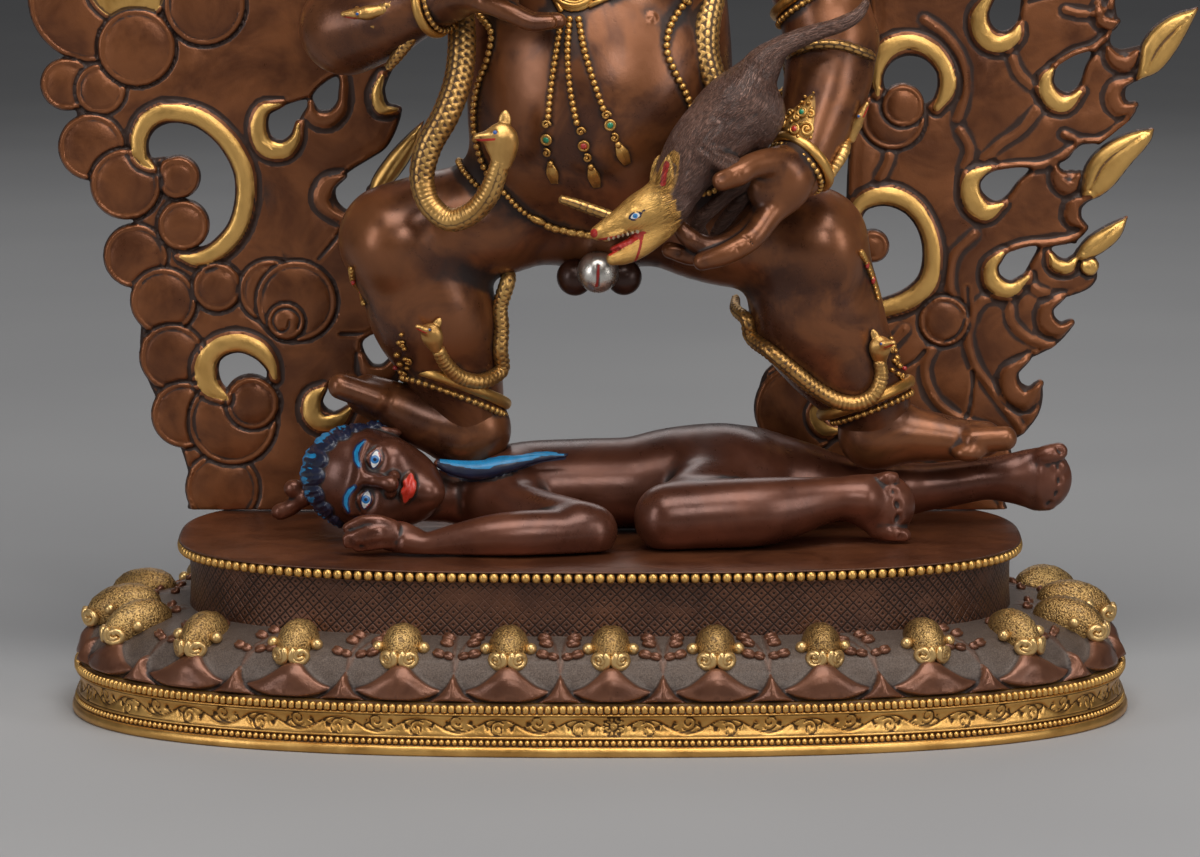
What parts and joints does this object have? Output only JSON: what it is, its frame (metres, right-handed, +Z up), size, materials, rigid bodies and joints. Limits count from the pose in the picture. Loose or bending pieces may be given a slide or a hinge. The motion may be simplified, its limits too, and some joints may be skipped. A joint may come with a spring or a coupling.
{
  "type": "kubera statue",
  "caption": "Pot-bellied standing figure with snake ornaments, holding an animal and treading on a lying figure, on an oval lotus base before an openwork flame nimbus.",
  "frame": {"origin": "The middle of the underside, where the foot band rests, under the centre of the whole object's box.", "axes": "+Z is up, -Y is the front towards the viewer, +X is the viewer's right. The height along Z is the longest extent."},
  "size_m": [0.462, 0.2212, 0.497],
  "materials": {
    "gilt_copper": "antiqued gold paint and gilding over copper, worn on the edges, dark in the recesses",
    "brown_copper": "semi-gloss chocolate-brown patinated copper with red-brown wear",
    "dark_copper": "semi-gloss dark chocolate-brown patinated copper, polished on the highlights"
  },
  "bodies": {
    "root": {"lotus_base": "gilt_copper", "flame_aureole": "brown_copper", "kubera_figure": "dark_copper", "trampled_figure": "dark_copper", "skull_cup": "gilt_copper"}
  },
  "joints": []
}
